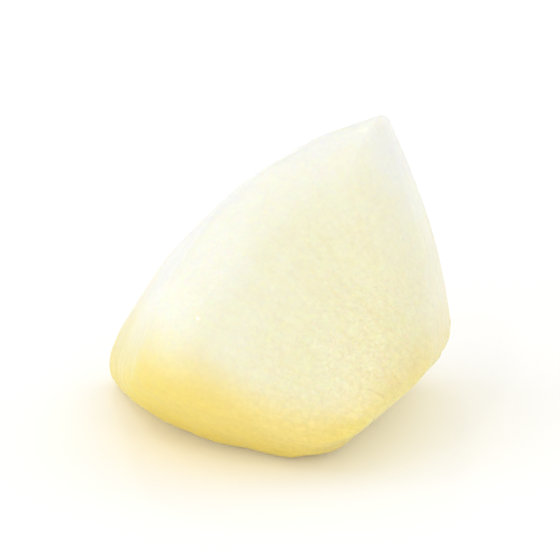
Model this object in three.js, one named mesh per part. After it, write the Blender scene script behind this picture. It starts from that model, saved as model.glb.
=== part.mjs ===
// One chunk of peeled, diced piel de sapo melon, as a single solid in millimetres, +Z up.
//
// A melon is cut in wedges, the rind is pared off, and each wedge is chopped across. A chunk keeps a
// curved face where the rind was, a face towards the seeds, and flat faces where the knife went through.
// This one rests on a flat face. Its broad front face leans back, and is a fan in outline: wide and arched
// at the pared side, narrow at the seed side. The flesh is soft, so every edge is a little round.
//
// The body is what all the cuts leave. Each cut is a signed distance, below zero inside the flesh, and
// each meets the cuts before it in a round edge. A ball of points shrinks onto the surface that they make.
// The origin is on the table, under the centre of the chunk's box.

import * as THREE from "three";
import { mergeVertices } from "three/addons/utils/BufferGeometryUtils.js";

// Sizes are in millimetres and angles in degrees. A direction is a heading, anticlockwise from +X seen
// from above, and a tilt up from level. Places are measured from the middle of the chunk.

// The pared face is part of the melon's own egg shape, a little inside the rind. The melon's long axis
// runs through core, and the egg is widest behind core by that much.
const MELON = { axis: [-83, 36], core: [20.5, -8.5, -17.8], across: 42, along: 100, behind: 32.6 };

// Each knife face looks along its heading and tilt, reach mm from the middle. It bulges like a ball of
// radius bow, and wavers by waver mm over wave mm along the way that the blade slid. Where it meets the
// faces before it, the edge has the radius edge.
const KNIFE_FACES = {
  right: { looks: [-4, 16.3], reach: 16, edge: 0.5, bow: 69, waver: 0.06, wave: 9, slid: [86, 0] },
  front: { looks: [-83, 36], reach: 12.9, edge: 4.5, bow: 160, waver: 0.05, wave: 13, slid: [20, 30] },
  seedSide: { looks: [-19, -45.7], reach: 16.5, edge: 1, bow: 200, waver: 0.1, wave: 8, slid: [71, 0] },
  under: { looks: [-111, -40.6], reach: 19.6, edge: 2.6, bow: 160, waver: 0.06, wave: 10, slid: [-21, 0] },
  lowerLeft: { looks: [213, -53], reach: 18.8, edge: 3, bow: 160, waver: 0.06, wave: 10, slid: [-57, 0] },
  back: { looks: [90, -10], reach: 12, edge: 3, bow: 150, waver: 0.08, wave: 12, slid: [0, 40] },
  foot: { looks: [0, -90], reach: 14, edge: 1.6, bow: Infinity, waver: 0, wave: 10, slid: [0, 0] },
};

// The ball has 20 * (BALL_SPLITS + 1) ** 2 triangles and starts outside the flesh.
const BALL_RADIUS = 24;
const BALL_SPLITS = 17;
const SHRINK_STEPS = 6;
const SLOPE_STEP = 0.01;

// Then its points spread out over the surface, closer together by EDGE_PULL where it bends.
const SPREAD_PASSES = 16;
const SPREAD_SHARE = 0.5;
const EDGE_PULL = 8;

const FLESH_COLOUR = 0xf6f1cf;

function direction([heading, tilt]) {
  const h = THREE.MathUtils.degToRad(heading);
  const t = THREE.MathUtils.degToRad(tilt);
  return new THREE.Vector3(Math.cos(h) * Math.cos(t), Math.sin(h) * Math.cos(t), Math.sin(t));
}

function paredFace({ axis, core, across, along, behind }) {
  const lengthwise = direction(axis);
  const centre = new THREE.Vector3(...core).addScaledVector(lengthwise, -behind);
  const from = new THREE.Vector3();
  return (p) => {
    from.subVectors(p, centre);
    const far = from.dot(lengthwise);
    const wide = Math.sqrt(Math.max(from.lengthSq() - far * far, 0));
    return (Math.hypot(wide / across, far / along) - 1) * across;
  };
}

function knifeFace({ looks, reach, bow, waver, wave, slid }) {
  const outward = direction(looks);
  const blade = direction(slid);
  return (p) => {
    const out = p.dot(outward);
    const aside = p.lengthSq() - out * out;
    const ripple = waver * Math.sin((2 * Math.PI * p.dot(blade)) / wave);
    return out - reach + aside / (2 * bow) + ripple;
  };
}

// Two faces meet in a round edge of that radius.
function roundMeet(a, b, radius) {
  const corner = Math.hypot(Math.max(a + radius, 0), Math.max(b + radius, 0));
  return Math.min(Math.max(a, b), -radius) + corner;
}

const pared = paredFace(MELON);
const cuts = Object.values(KNIFE_FACES).map((face) => ({ distance: knifeFace(face), edge: face.edge }));

function outsideFlesh(p) {
  return cuts.reduce((d, cut) => roundMeet(d, cut.distance(p), cut.edge), pared(p));
}

// How fast that distance grows along x, y and z at p.
const probe = new THREE.Vector3();
const sideSteps = [[SLOPE_STEP, 0, 0], [0, SLOPE_STEP, 0], [0, 0, SLOPE_STEP]].map((s) => new THREE.Vector3(...s));
function slope(p) {
  const rise = sideSteps.map((step) => {
    const ahead = outsideFlesh(probe.addVectors(p, step));
    const behind = outsideFlesh(probe.subVectors(p, step));
    return (ahead - behind) / (2 * SLOPE_STEP);
  });
  return new THREE.Vector3(...rise);
}

// Moves a point to the nearest place on the surface.
function toSurface(p) {
  for (let i = 0; i < SHRINK_STEPS; i++) {
    const steepest = slope(p);
    p.addScaledVector(steepest, -outsideFlesh(p) / steepest.lengthSq());
  }
  return p;
}

// The middle of a few of the points, each counted by its weight.
function middleOf(few, points, weight = () => 1) {
  const sum = new THREE.Vector3();
  let total = 0;
  for (const i of few) {
    sum.addScaledVector(points[i], weight(i));
    total += weight(i);
  }
  return sum.divideScalar(total);
}

function fleshGeometry() {
  const ball = new THREE.IcosahedronGeometry(BALL_RADIUS, BALL_SPLITS);
  ball.deleteAttribute("normal");
  ball.deleteAttribute("uv");
  const skin = mergeVertices(ball);
  const place = skin.getAttribute("position");
  const corner = skin.getIndex();
  const points = Array.from({ length: place.count }, (_, i) => new THREE.Vector3().fromBufferAttribute(place, i));

  const near = points.map(() => new Set());
  for (let i = 0; i < corner.count; i++) {
    const next = i % 3 === 2 ? i - 2 : i + 1;
    near[corner.getX(i)].add(corner.getX(next));
    near[corner.getX(next)].add(corner.getX(i));
  }

  points.forEach(toSurface);
  for (let pass = 0; pass < SPREAD_PASSES; pass++) {
    const bend = points.map((p, i) => p.distanceTo(middleOf(near[i], points)));
    const target = points.map((p, i) => middleOf(near[i], points, (j) => 1 + EDGE_PULL * bend[j]));
    points.forEach((p, i) => toSurface(p.lerp(target[i], SPREAD_SHARE)));
  }
  points.forEach((p, i) => place.setXYZ(i, p.x, p.y, p.z));

  skin.computeBoundingBox();
  const centre = skin.boundingBox.getCenter(new THREE.Vector3());
  skin.translate(-centre.x, -centre.y, KNIFE_FACES.foot.reach);
  skin.computeVertexNormals();
  return skin;
}

const flesh = new THREE.MeshStandardMaterial({ color: FLESH_COLOUR, roughness: 0.4, metalness: 0 });
const chunk = new THREE.Mesh(fleshGeometry(), flesh);
chunk.name = "melon_chunk";

const part = new THREE.Group();
part.add(chunk);
export default part;
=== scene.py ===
# %% [markdown]
# # A chunk of peeled melon, in Blender
#
# Piel de sapo is a long green melon with pale, wet flesh. Someone cut it in wedges, pared off the rind and
# chopped the wedges across. This lesson makes one of those chunks: a soft block with one curved side, where
# the rind was, and knife-cut faces all round. It is small, 36 mm wide, so every mark on it counts.
#
# The shape comes first, then the marks that knives and fruit cells leave on it, then what the flesh does
# with light, and last the table, the lamps and the camera.

import math

import bmesh
import bpy
import numpy as np
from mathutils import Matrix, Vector, noise


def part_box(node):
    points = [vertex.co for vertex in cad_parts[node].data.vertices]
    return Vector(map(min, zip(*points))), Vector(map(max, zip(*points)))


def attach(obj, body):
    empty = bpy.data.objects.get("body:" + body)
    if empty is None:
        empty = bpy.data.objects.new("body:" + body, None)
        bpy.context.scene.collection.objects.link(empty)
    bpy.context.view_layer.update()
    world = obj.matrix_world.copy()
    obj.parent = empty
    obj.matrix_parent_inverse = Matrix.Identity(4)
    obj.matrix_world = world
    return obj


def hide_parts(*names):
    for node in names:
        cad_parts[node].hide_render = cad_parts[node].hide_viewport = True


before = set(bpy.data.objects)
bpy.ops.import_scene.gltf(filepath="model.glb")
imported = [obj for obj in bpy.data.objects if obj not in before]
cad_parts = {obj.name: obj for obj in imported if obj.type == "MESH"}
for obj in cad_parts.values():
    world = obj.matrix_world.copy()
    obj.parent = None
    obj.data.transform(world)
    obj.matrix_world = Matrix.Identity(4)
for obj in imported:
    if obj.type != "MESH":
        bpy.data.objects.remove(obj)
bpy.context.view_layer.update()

# %% [markdown]
# ## Where things are in the fruit
#
# A direction here is a heading, turning left from +X seen from above, and a tilt up from level. Places are
# measured from the middle of the chunk. The solid model says the same in millimetres, and Blender works in
# metres, so sizes are written in millimetres times MM.
#
# The melon was an egg shape round its own long axis. That axis matters for everything that grew: the flesh
# is firm and whitish under the rind, and softer and yellower towards the seeds, and its strands run from one
# to the other.

# %% The melon that the chunk came from
MM = 0.001


def direction(heading, tilt):
    h, t = math.radians(heading), math.radians(tilt)
    return np.array([math.cos(h) * math.cos(t), math.sin(h) * math.cos(t), math.sin(t)])


melon_axis = direction(-83, 36)
melon_core = np.array([20.5, -8.5, -17.8]) * MM
melon_across = 42 * MM
melon_along = 100 * MM
core_to_centre = 32.6 * MM
melon_centre = melon_core - core_to_centre * melon_axis


def egg_place(points):
    """How far along the melon's axis each point is, and how far out from it."""
    seen = points - melon_centre
    along = seen @ melon_axis
    out = np.sqrt(np.maximum((seen * seen).sum(axis=1) - along * along, 0))
    return along, out


def pared_face(points):
    along, out = egg_place(points)
    return (np.hypot(out / melon_across, along / melon_along) - 1) * melon_across


sideways = np.cross(melon_axis, (0, 0, 1))
sideways /= np.linalg.norm(sideways)
upright = np.cross(sideways, melon_axis)


def arc_place(points):
    """How far round the melon each point is, measured on the pared face."""
    seen = points - melon_centre
    return np.arctan2(seen @ upright, seen @ sideways) * melon_across


print("the melon was", round(2 * melon_across / MM), "mm thick inside its rind")

# %% [markdown]
# ## Strokes of the paring knife
#
# A rind comes off in long strokes, and a knife is straight, so each stroke leaves a shallow trough with a low
# ridge on both sides. The strokes could be carved out of the finished mesh one by one. Here they are a wave
# round the melon instead, because then the knife cuts of the next step can run through them and still meet
# them in clean edges. The strokes bend a little along the melon, as a hand does.

# %% Strokes round the melon
stroke_width = 9 * MM
stroke_depth = 0.16 * MM
ridge_softness = 0.12
stroke_bend = 0.15
bend_length = 13 * MM


def paring_strokes(points):
    """How much deeper than the egg shape the rind's knife went: deepest in the middle of each stroke."""
    along, _ = egg_place(points)
    place = arc_place(points) / stroke_width + stroke_bend * np.sin(along / bend_length)
    to_ridge = 1 - 2 * np.abs(place - np.round(place))
    return stroke_depth * (1 - (1 + ridge_softness - np.hypot(to_ridge, ridge_softness)) ** 2)


print("a stroke on the round melon is flat to", round(stroke_width ** 2 / (8 * melon_across) / MM, 2), "mm")

# %% [markdown]
# ## Knife cuts
#
# A chunk could be modelled as a cube, pushed about by hand and bevelled. Here each cut is a rule instead: how
# far is a point outside the plane of the blade? The flesh is wherever no cut says "outside". A rule like that
# is easy to soften: near an edge, where two cuts are both close, their distances join as the two short sides
# of a right triangle, and the edge comes out round. The front edges are rubbed soft, and the edge over the
# tip is still crisp.
#
# A blade pushed through wet fruit rocks a little. So a cut bulges like part of a very large ball, and wavers
# by up to a tenth of a millimetre along the way that the blade slid.

# %% The knife cuts


def knife_face(looks, reach, bow, waver, wave, slid):
    """How far each point is outside a cut that faces looks, reach millimetres from the middle."""
    outward, blade = direction(*looks), direction(*slid)

    def outside(points):
        out = points @ outward
        aside = (points * points).sum(axis=1) - out * out
        ripple = waver * MM * np.sin(2 * np.pi * (points @ blade) / (wave * MM))
        return out - reach * MM + aside / (2 * bow * MM) + ripple

    return outside


right = knife_face(looks=(-4, 16.3), reach=16, bow=69, waver=0.06, wave=9, slid=(86, 0))
front = knife_face(looks=(-83, 36), reach=12.9, bow=160, waver=0.05, wave=13, slid=(20, 30))
seed_side = knife_face(looks=(-19, -45.7), reach=16.5, bow=200, waver=0.1, wave=8, slid=(71, 0))
under = knife_face(looks=(-111, -40.6), reach=19.6, bow=160, waver=0.06, wave=10, slid=(-21, 0))
lower_left = knife_face(looks=(213, -53), reach=18.8, bow=160, waver=0.06, wave=10, slid=(-57, 0))
back = knife_face(looks=(90, -10), reach=12, bow=150, waver=0.08, wave=12, slid=(0, 40))
foot_reach = 14
foot = knife_face(looks=(0, -90), reach=foot_reach, bow=math.inf, waver=0, wave=1, slid=(0, 0))

# Each cut, in the order made, with the radius of the edge where it meets the ones before it.
cuts = [
    (right, 0.5 * MM),
    (front, 4.5 * MM),
    (seed_side, 1.0 * MM),
    (under, 2.6 * MM),
    (lower_left, 3.0 * MM),
    (back, 3.0 * MM),
    (foot, 1.6 * MM),
]
crispest = 0.3 * MM
crisp_below = 1.5 * MM


def outside_flesh(points, rub=0.0, nicks=0.0):
    """Distance outside the flesh, below zero in it. rub rounds all edges more, and nicks only crisp ones."""
    far = pared_face(points) + paring_strokes(points)
    for cut, edge in cuts:
        radius = np.maximum(edge + rub + (nicks if edge < crisp_below else 0), crispest)
        here = cut(points)
        corner = np.hypot(np.maximum(far + radius, 0), np.maximum(here + radius, 0))
        far = np.minimum(np.maximum(far, here), -radius) + corner
    return far


print(len(cuts), "knife cuts and one pared face")

# %% [markdown]
# ## Shrinking a ball onto the cuts
#
# To turn the rule into a mesh, a ball of quads starts outside and every point slides straight down the slope
# of the distance until it is on the surface. The points then even out: each one moves halfway to the middle
# of its neighbours and back down to the surface. Neighbours on an edge count for more, so edges get more
# points than flat faces.
#
# Doing this on a coarse ball and then splitting every quad in four is much faster than evening out a fine
# one, because a point far from its place has only a few neighbours to pass.

# %% Surface helpers
slope_step = 0.01 * MM
edge_pull = 6


def slope(points, *wear):
    """Which way the distance grows fastest at each point, and how fast."""
    rise = np.empty_like(points)
    for axis in range(3):
        side = np.zeros(3)
        side[axis] = slope_step
        ahead = outside_flesh(points + side, *wear)
        behind = outside_flesh(points - side, *wear)
        rise[:, axis] = (ahead - behind) / (2 * slope_step)
    return rise


def to_surface(points, *wear, steps=3):
    for _ in range(steps):
        steepest = slope(points, *wear)
        too_far = outside_flesh(points, *wear) / (steepest * steepest).sum(axis=1)
        points = points - steepest * too_far[:, None]
    return points


def neighbour_middle(points, ends, weight):
    """The weighted middle of each point's neighbours. ends are the two points of each edge."""
    here, there = np.concatenate([ends, ends[:, ::-1]]).T
    total = np.bincount(here, weight[there], len(points))
    sums = [np.bincount(here, weight[there] * points[there, axis], len(points)) for axis in range(3)]
    return np.stack(sums, axis=1) / total[:, None]


def spread_out(points, ends, passes):
    even = np.ones(len(points))
    for _ in range(passes):
        bend = np.linalg.norm(neighbour_middle(points, ends, even) - points, axis=1)
        gap = np.linalg.norm(points[ends[:, 0]] - points[ends[:, 1]], axis=1).mean()
        middle = neighbour_middle(points, ends, 1 + edge_pull * bend / gap)
        points = to_surface((points + middle) / 2, steps=1)
    return to_surface(points)


def get_points(mesh):
    flat = np.empty(len(mesh.vertices) * 3)
    mesh.vertices.foreach_get("co", flat)
    return flat.reshape(-1, 3)


def get_edges(mesh):
    flat = np.empty(len(mesh.edges) * 2, dtype=int)
    mesh.edges.foreach_get("vertices", flat)
    return flat.reshape(-1, 2)


# %% From a ball of quads to the chunk
ball_radius = 24 * MM
ball_cuts = 14
first_steps = 6
coarse_passes = 40
fine_passes = 6
splittings = 3

skin = bmesh.new()
bmesh.ops.create_cube(skin, size=2)
bmesh.ops.subdivide_edges(skin, edges=skin.edges, cuts=ball_cuts, use_grid_fill=True)
chunk_mesh = bpy.data.meshes.new("diced_melon")
skin.to_mesh(chunk_mesh)
ball = get_points(chunk_mesh)
points = to_surface(ball / np.linalg.norm(ball, axis=1)[:, None] * ball_radius, steps=first_steps)
points = spread_out(points, get_edges(chunk_mesh), coarse_passes)

for _ in range(splittings):
    chunk_mesh.vertices.foreach_set("co", points.ravel())
    skin.clear()
    skin.from_mesh(chunk_mesh)
    bmesh.ops.subdivide_edges(skin, edges=skin.edges, cuts=1, use_grid_fill=True)
    skin.to_mesh(chunk_mesh)
    points = spread_out(get_points(chunk_mesh), get_edges(chunk_mesh), fine_passes)
skin.free()
print(len(points), "points,", len(chunk_mesh.polygons), "quads")

# %% [markdown]
# ## Rubbed edges and nicks
#
# On a real chunk no edge is the same all along. A soft edge has been rubbed more in some places than in
# others, and a crisp one has small nicks where wet flesh broke away. A sculpting brush could do both. Here
# they are the same cuts again, met with a radius that varies, so the edge stays a clean meeting of two faces.

# %% Rub the edges unevenly

# Each wave is how much rounder, over what length, and the seed of its noise.
rub_waves = ((0.4 * MM, 5 * MM, 11), (0.25 * MM, 1.6 * MM, 12))
nick_depth = 2 * MM
nick_length = 1.4 * MM
nick_rarity = 0.25


def noise_at(points, size, seed):
    """Smooth noise from -1 to 1, with bumps of about that size."""
    shift = Vector((seed, 2 * seed, 3 * seed))
    return np.array([noise.noise(Vector(p) / size + shift) for p in points])


rub = sum(amount * noise_at(points, size, seed) for amount, size, seed in rub_waves)
nicks = nick_depth * np.clip(noise_at(points, nick_length, seed=13) - nick_rarity, 0, 1)
points = to_surface(points, rub, nicks)
outward = slope(points)
outward /= np.linalg.norm(outward, axis=1)[:, None]
print("edges are rubbed from", round(rub.min() / MM, 2), "to", round(rub.max() / MM, 2), "mm rounder")

# %% [markdown]
# ## Ripe flesh and painted shade
#
# Two things change over the chunk, and the finish needs both of them at every point. Ripeness grows with the
# depth under the rind: the grain gets coarser and the colour yellower. The other is painted shade: the faces
# that look down and the lower left, where shade and yellow light from neighbouring chunks would fall, are
# painted a deep clear yellow.
#
# Both could be painted by hand. Distances to the cuts give them instead, and they stay right when
# the shape changes.

# %% How ripe each point is, and how much painted shade it gets
fully_ripe = 28 * MM
firm_end = 0.2
firm_reach = 4 * MM
fall_off = 1.5
shade_spread_amount = 0.3
shade_spread_size = 8 * MM
shade_height = 16 * MM

along, out = egg_place(points)
depth = np.maximum(-pared_face(points), 0)
height = points[:, 2] + foot_reach * MM


def near(cut, reach):
    """1 on a cut face, falling softly to 0 at that reach from it."""
    return np.clip(1 + cut(points) / reach, 0, 1) ** fall_off


# Towards the melon's end, on the right, the flesh is firmer and paler.
ripeness = np.clip(np.clip(depth / fully_ripe, 0, 1) - firm_end * near(right, firm_reach), 0, 1)

# Painted shade: how much each face brings, and how far from it the shade reaches. It reaches further in some
# places than in others, and on the pared face there is shade only low down.
shade_spread = 1 + shade_spread_amount * noise_at(points, shade_spread_size, seed=23)
low_down = np.clip(1 - height / shade_height, 0, 1)
shade_faces = (
    (lower_left, 1.0, 10 * MM * shade_spread),
    (pared_face, 0.75 * low_down, 3 * MM),
    (seed_side, 0.42, 5 * MM),
    (under, 0.4, 4.5 * MM),
    (foot, 0.3, 4 * MM),
)
unshaded = np.ones(len(points))
for face, share, reach in shade_faces:
    unshaded *= 1 - share * near(face, reach)
painted_shade = 1 - unshaded
print("deepest point is", round(depth.max() / MM, 1), "mm under the pared face")
# Counts the points that get more than half of the painted shade.
print(round(100 * (painted_shade > 0.5).mean()), "per cent of the points are more wet than dry")

# %% [markdown]
# ## Grains and strands
#
# Three more marks are real bumps in the mesh, so that they also show in its outline and its shading:
#
# - the whole surface has a soft unevenness, because flesh gives under a blade;
# - cut cells stand up as tiny grains, tight and low under the rind, loose and high near the seeds;
# - strands, which carry water to the seeds, lie in the flesh like threads.
#
# A sculptor would stamp them on with a texture brush. Noise in three dimensions needs no seams and no
# unwrapping: it fills the whole fruit, and the knife shows whatever is at the cut. The foot stays flat,
# because the chunk's own weight presses it on the table.

# %% Unevenness, grains and strands

# Each wave is how high, over what length, and the seed of its noise.
uneven_waves = ((0.14 * MM, 9 * MM, 21), (0.02 * MM, 2.5 * MM, 22))
grain_size = 0.9 * MM
grain_height = 0.07 * MM
tightest = 0.25
patch_size = 4 * MM
usual_grain = 0.6
patch_contrast = 0.8
strand_spacing = 1.7 * MM
strand_height = 0.035 * MM
strand_thinness = 0.09
strand_stretch = (2, 1, 9)
pressed_flat = 0.1 * MM
free_of_table = 1.5 * MM


def grain_at(points, size, seed):
    """Round grains packed like cells: 1 in the middle of a grain, 0 where grains meet."""
    shift = Vector((seed, seed, seed))
    rise = np.empty(len(points))
    for i, p in enumerate(points):
        nearest = noise.voronoi(Vector(p) / size + shift)[0]
        rise[i] = min(1.0, nearest[1] - nearest[0])
    return rise


uneven = sum(amount * noise_at(points, size, seed) for amount, size, seed in uneven_waves)

grains = grain_at(points, grain_size, seed=31)
looseness = tightest + (1 - tightest) * ripeness
patchy = np.clip(usual_grain + patch_contrast * noise_at(points, patch_size, seed=32), 0, 1)
grain_relief = grain_height * looseness * patchy * (grains - 0.5)

# A strand runs outwards from the core, so it stays at one turn and one place along the axis. Noise that is
# stretched most along the way out gives such threads.
strand_way = np.stack([arc_place(points), along, out], axis=1) / strand_stretch
strands = np.exp(-((noise_at(strand_way, strand_spacing, seed=41) / strand_thinness) ** 2))
strand_relief = strand_height * strands * ripeness

lift = np.clip((height - pressed_flat) / free_of_table, 0, 1)
relief = (uneven + grain_relief + strand_relief) * lift
points = points + outward * relief[:, None]
print("relief from", round(relief.min() / MM, 3), "to", round(relief.max() / MM, 3), "mm")

# %% [markdown]
# ## One piece, in its place
#
# The finished points go back into the mesh. The solid's box says where the chunk stands: its middle is over
# the origin, and its foot is on the table. The marks that the finish needs go along as attributes, one value
# for each point, because an attribute follows the mesh wherever it goes.

# %% Put the chunk together
low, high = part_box("melon_chunk")
middle = (points.min(axis=0) + points.max(axis=0)) / 2
points[:, 0] += (low.x + high.x) / 2 - middle[0]
points[:, 1] += (low.y + high.y) / 2 - middle[1]
points[:, 2] = np.maximum(points[:, 2] + foot_reach * MM, 0)

chunk_mesh.vertices.foreach_set("co", points.ravel())
chunk_mesh.shade_smooth()
chunk_mesh.update()

for name, amount in (("ripeness", ripeness), ("painted_shade", painted_shade), ("grain", grains)):
    chunk_mesh.attributes.new(name, "FLOAT", "POINT").data.foreach_set("value", amount.astype(np.float32))
way = chunk_mesh.attributes.new("strand_way", "FLOAT_VECTOR", "POINT")
way.data.foreach_set("vector", (strand_way / MM).astype(np.float32).ravel())

chunk = bpy.data.objects.new("diced_melon", chunk_mesh)
bpy.context.scene.collection.objects.link(chunk)
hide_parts("melon_chunk")
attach(chunk, "root")
print("chunk:", [round(side / MM, 2) for side in chunk.dimensions], "mm")

# %% [markdown]
# ## The colour of the flesh
#
# Melon flesh is nearly white under the rind and cream towards the seeds. Painted shade makes it clear yellow
# below.
# One flat cream would look like soap. A photograph wrapped round the chunk would show its own light on it,
# and stretch at the edges. So the colour is worked out from the marks: a ramp over ripeness, moved a little
# by large soft blotches, and over it a ramp for the painted shade.

# %% Small node helpers


def new_material(name):
    made = bpy.data.materials.new(name)
    made.use_nodes = True
    return made, made.node_tree


def add_node(tree, kind, **settings):
    node = tree.nodes.new(kind)
    for key, value in settings.items():
        setattr(node, key, value)
    return node


def math_node(tree, operation, a, b):
    node = add_node(tree, "ShaderNodeMath", operation=operation)
    for socket, value in zip(node.inputs, (a, b)):
        if isinstance(value, (int, float)):
            socket.default_value = value
        else:
            tree.links.new(value, socket)
    return node.outputs[0]


def ramp(tree, factor, *stops):
    """A colour ramp through (place, colour) stops."""
    node = add_node(tree, "ShaderNodeValToRGB")
    bands = node.color_ramp.elements
    while len(bands) < len(stops):
        bands.new(0.5)
    for band, (place, colour) in zip(bands, stops):
        band.position = place
        band.color = (*colour, 1)
    tree.links.new(factor, node.inputs[0])
    return node.outputs[0]


def grey(level):
    return (level, level, level)


# %% Rind side, seed side and painted shade
white = grey(1.0)
blotch_size = 7 * MM
blotch_strength = 0.35

flesh, tree = new_material("wet_melon_flesh")
skin_shader = tree.nodes["Principled BSDF"]
place_in = add_node(tree, "ShaderNodeTexCoord").outputs["Object"]


def mark(name):
    """One of the marks that the mesh carries, as a number from 0 to 1."""
    return add_node(tree, "ShaderNodeAttribute", attribute_name=name).outputs["Fac"]


def noise_node(size, detail, vector=place_in):
    node = add_node(tree, "ShaderNodeTexNoise")
    node.inputs["Scale"].default_value = 1 / size
    node.inputs["Detail"].default_value = detail
    tree.links.new(vector, node.inputs["Vector"])
    return node.outputs["Fac"]


def multiply(factor, a, b):
    """Colour a tinted by colour b, by as much as factor says."""
    node = add_node(tree, "ShaderNodeMix", data_type="RGBA", blend_type="MULTIPLY")
    for name, value in (("Factor", factor), ("A", a), ("B", b)):
        socket = next(s for s in node.inputs if s.name == name and (name == "Factor" or s.type == "RGBA"))
        if isinstance(value, float):
            socket.default_value = value
        else:
            tree.links.new(value, socket)
    return next(s for s in node.outputs if s.type == "RGBA")


blotch = math_node(tree, "SUBTRACT", noise_node(blotch_size, detail=4), 0.5)
ripe_here = math_node(tree, "ADD", mark("ripeness"), math_node(tree, "MULTIPLY", blotch, blotch_strength))
flesh_colour = ramp(tree, ripe_here,
                    (0.00, (0.955, 0.945, 0.850)),
                    (0.20, (0.970, 0.918, 0.720)),
                    (0.60, (0.965, 0.892, 0.600)),
                    (1.00, (0.945, 0.885, 0.590)))
# Painted shade: the flesh turns deep yellow where the painted shade mark is high.
painted_shade_colour = ramp(tree, mark("painted_shade"),
                    (0.00, white),
                    (0.50, (0.938, 0.858, 0.510)),
                    (1.00, (0.860, 0.690, 0.130)))
flesh_and_shade_colour = multiply(1.0, flesh_colour, painted_shade_colour)
# Counts the nodes for the flesh colour and its painted shade.
print(len(tree.nodes), "nodes so far, for the colour of the flesh and its juice")

# %% [markdown]
# ## Threads and cells in the colour
#
# Seen close, the flesh is not one colour but a mottle. Threads are a little deeper in colour than what lies
# between them, and each cell holds its own amount of juice. The hollows between grains get painted shade.
# These are faint, a few parts in a hundred, and they fade out towards the rind, where the cells are small and
# tight.

# %% Threads, cells and painted shade between grains
cell_size = 0.42 * MM

# The mesh carries the way of the strands in millimetres, so this size is in millimetres too.
thread_spacing = 1.6
way_in = add_node(tree, "ShaderNodeAttribute", attribute_name="strand_way").outputs["Vector"]
thread_tone = ramp(tree, noise_node(thread_spacing, detail=2, vector=way_in),
                   (0.455, white),
                   (0.500, (0.988, 0.968, 0.910)),
                   (0.545, white))

cells = add_node(tree, "ShaderNodeTexVoronoi", feature="F1")
cells.inputs["Scale"].default_value = 1 / cell_size
tree.links.new(place_in, cells.inputs["Vector"])
cell_tone = ramp(tree, cells.outputs["Color"],
                 (0.25, (0.958, 0.958, 0.954)),
                 (0.60, white))
# Painted shade: darker where grains meet, in the hollows between them.
painted_hollow_shade = ramp(tree, mark("grain"),
                  (0.00, (0.960, 0.958, 0.940)),
                  (0.35, white))

looser = ramp(tree, ripe_here, (0.10, grey(tightest)), (0.70, white))
mottled = flesh_and_shade_colour
for tone in (thread_tone, painted_hollow_shade, cell_tone):
    mottled = multiply(looser, mottled, tone)
tree.links.new(mottled, skin_shader.inputs["Base Color"])
print("threads are", thread_spacing, "mm apart, and cells are", round(cell_size / MM, 2), "mm across")

# %% [markdown]
# ## Light in the flesh, and the juice on it
#
# Light doesn't stop at the surface of a melon. It wanders about inside and comes out somewhere else, and on
# the way the blue is soaked up first. That is why the edges glow and no shadow on the flesh is hard. Lighter
# paint could only fake it from one side. Subsurface scattering does the wandering for real, if it is told how
# far each colour gets: some millimetres for red and green, and less than one for blue.
#
# Most of the gloss is the juice, a thin clear coat over flesh that is itself nearly dull. Its shine is weak
# on the whole and strong in a few tiny glints.

# %% Light and gloss
damp_patch = 3.5 * MM
skin_shader.inputs["Subsurface Weight"].default_value = 0.85
skin_shader.inputs["Subsurface Scale"].default_value = 1.0
skin_shader.inputs["Subsurface Radius"].default_value = (2.6 * MM, 2.1 * MM, 0.9 * MM)
skin_shader.inputs["IOR"].default_value = 1.36
skin_shader.inputs["Specular IOR Level"].default_value = 0.05
skin_shader.inputs["Coat Weight"].default_value = 0.25
skin_shader.inputs["Coat Roughness"].default_value = 0.08
skin_shader.inputs["Coat IOR"].default_value = 1.6
damp = ramp(tree, noise_node(damp_patch, detail=3), (0.35, grey(0.30)), (0.65, grey(0.50)))
tree.links.new(damp, skin_shader.inputs["Roughness"])
for name in ("Subsurface Weight", "Coat Weight", "Coat Roughness"):
    print(name, "is", round(skin_shader.inputs[name].default_value, 2))

# %% [markdown]
# ## Grains too small for the mesh
#
# The finest grains are less than half a millimetre across. As mesh they would need millions of points, so
# they are bumps in the shader. The juice fills the hollows between them, so its own surface is smoother than
# the flesh. That is why the coat has bumps of its own, and they are what breaks its shine into glints.

# %% Fine bumps
flesh_dome = 0.12 * MM
flesh_ripple = 0.05 * MM
flesh_ripple_size = 0.8 * MM
juice_dome = 0.03 * MM
juice_ripple = 0.065 * MM
juice_ripple_size = 1.1 * MM


def bump(height, distance, before=None, **settings):
    """Bumps as high as that distance, on top of the ones before."""
    node = add_node(tree, "ShaderNodeBump", **settings)
    node.inputs["Strength"].default_value = 1.0
    node.inputs["Distance"].default_value = distance
    tree.links.new(height, node.inputs["Height"])
    if before is not None:
        tree.links.new(before, node.inputs["Normal"])
    return node.outputs["Normal"]


domes = math_node(tree, "MULTIPLY", cells.outputs["Distance"], looser)
flesh_domes = bump(domes, flesh_dome, invert=True)
flesh_bumps = bump(noise_node(flesh_ripple_size, detail=5), flesh_ripple, before=flesh_domes)
tree.links.new(flesh_bumps, skin_shader.inputs["Normal"])

juice_domes = bump(domes, juice_dome, invert=True)
juice_bumps = bump(noise_node(juice_ripple_size, detail=2), juice_ripple, before=juice_domes)
tree.links.new(juice_bumps, skin_shader.inputs["Coat Normal"])

chunk_mesh.materials.append(flesh)
print("flesh shader has", len(tree.nodes), "nodes")

# %% [markdown]
# ## The table
#
# The chunk rests on a plain white table. A large sheet of mesh is enough, because nothing of it shows but its
# colour and the soft shadow. It also lights the chunk from below, so it glows very faintly: that keeps it
# white up to the horizon, and lets the faces that look down stay yellow instead of grey.

# %% The table
table_half = 1.5
below_foot = 0.01 * MM
table_corners = [(x * table_half, y * table_half, 0) for x, y in ((-1, -1), (1, -1), (1, 1), (-1, 1))]
table_mesh = bpy.data.meshes.new("table")
table_mesh.from_pydata(table_corners, [], [(0, 1, 2, 3)])
table = bpy.data.objects.new("table", table_mesh)
table.location.z = -below_foot
bpy.context.scene.collection.objects.link(table)

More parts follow.
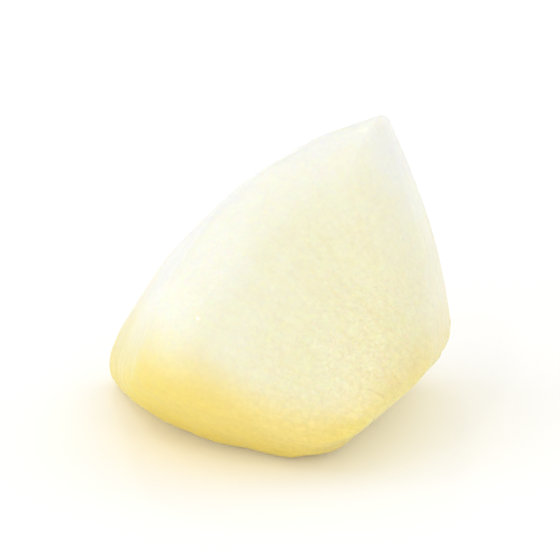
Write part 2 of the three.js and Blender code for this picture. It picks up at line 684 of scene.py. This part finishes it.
table_paint, table_tree = new_material("white_table")
paint = table_tree.nodes["Principled BSDF"]
paint.inputs["Base Color"].default_value = (0.94, 0.94, 0.935, 1)
paint.inputs["Roughness"].default_value = 0.6
paint.inputs["Emission Color"].default_value = (1, 1, 1, 1)
paint.inputs["Emission Strength"].default_value = 0.12
table_mesh.materials.append(table_paint)
print("table:", 2 * table_half, "m square")

# %% [markdown]
# ## The lamps
#
# Pale wet fruit looks best in a bright white room, where light comes from everywhere and shadows are weak.
# A single lamp would burn out the side that it shines on, and leave the other one grey. So the room itself
# gives most of the light. Three large softboxes shape the chunk: a window behind it on the left, a broad
# fill low in front on the left, and a light behind it on the right.
#
# Large lamps make no glints. That is the work of four small ones, which add little to the brightness. Each
# stands where one of the faces mirrors it to somebody looking from the front, the right or the back.

# %% Softboxes and a white room
lamp_distance = 0.65
large = 0.45


def softbox(name, heading, tilt, size, power):
    """A square lamp that shines at the chunk from that direction."""
    lamp = bpy.data.lights.new(name, "AREA")
    lamp.size = size
    lamp.energy = power
    stand = bpy.data.objects.new(name, lamp)
    stand.location = Vector(direction(heading, tilt) * lamp_distance)
    stand.rotation_euler = (-stand.location).to_track_quat("-Z", "Y").to_euler()
    bpy.context.scene.collection.objects.link(stand)


softbox("window", heading=170, tilt=45, size=large, power=0.42)
softbox("fill", heading=-130, tilt=14, size=large, power=0.69)
softbox("back_light", heading=40, tilt=40, size=large, power=0.38)
softbox("sparkle_left", heading=-132, tilt=58, size=0.05, power=0.12)
softbox("sparkle_front", heading=-65, tilt=38, size=0.1, power=0.18)
softbox("sparkle_right", heading=-12, tilt=14, size=0.05, power=0.045)
softbox("sparkle_back", heading=100, tilt=45, size=0.06, power=0.12)

room = bpy.data.worlds.new("white_room")
room.use_nodes = True
room.node_tree.nodes["Background"].inputs["Color"].default_value = (1, 1, 1, 1)
room.node_tree.nodes["Background"].inputs["Strength"].default_value = 0.76
bpy.context.scene.world = room
print(len(bpy.data.lights), "lamps")

# %% [markdown]
# ## The camera
#
# The camera looks down by 22 degrees from a metre away, through a long lens. A close camera with a short lens
# would spread the chunk's near side and shrink its far side, and a chunk of fruit would look like a boulder.
# The standard view transform keeps white as white: the usual filmic one would turn the room grey.

# %% The camera
look_at = Vector((0, 0, (low.z + high.z) / 2))
camera_tilt = 22
camera_distance = 1.0
picture_width = 59 * MM
lens = bpy.data.cameras.new("camera")
lens.sensor_width = 36
lens.lens = lens.sensor_width * camera_distance / picture_width
camera = bpy.data.objects.new("camera", lens)
camera.location = look_at + Vector(direction(-90, camera_tilt) * camera_distance)
camera.rotation_euler = (look_at - camera.location).to_track_quat("-Z", "Y").to_euler()
bpy.context.scene.collection.objects.link(camera)
bpy.context.scene.camera = camera
bpy.context.scene.view_settings.view_transform = "Standard"
print("lens:", round(lens.lens), "mm")
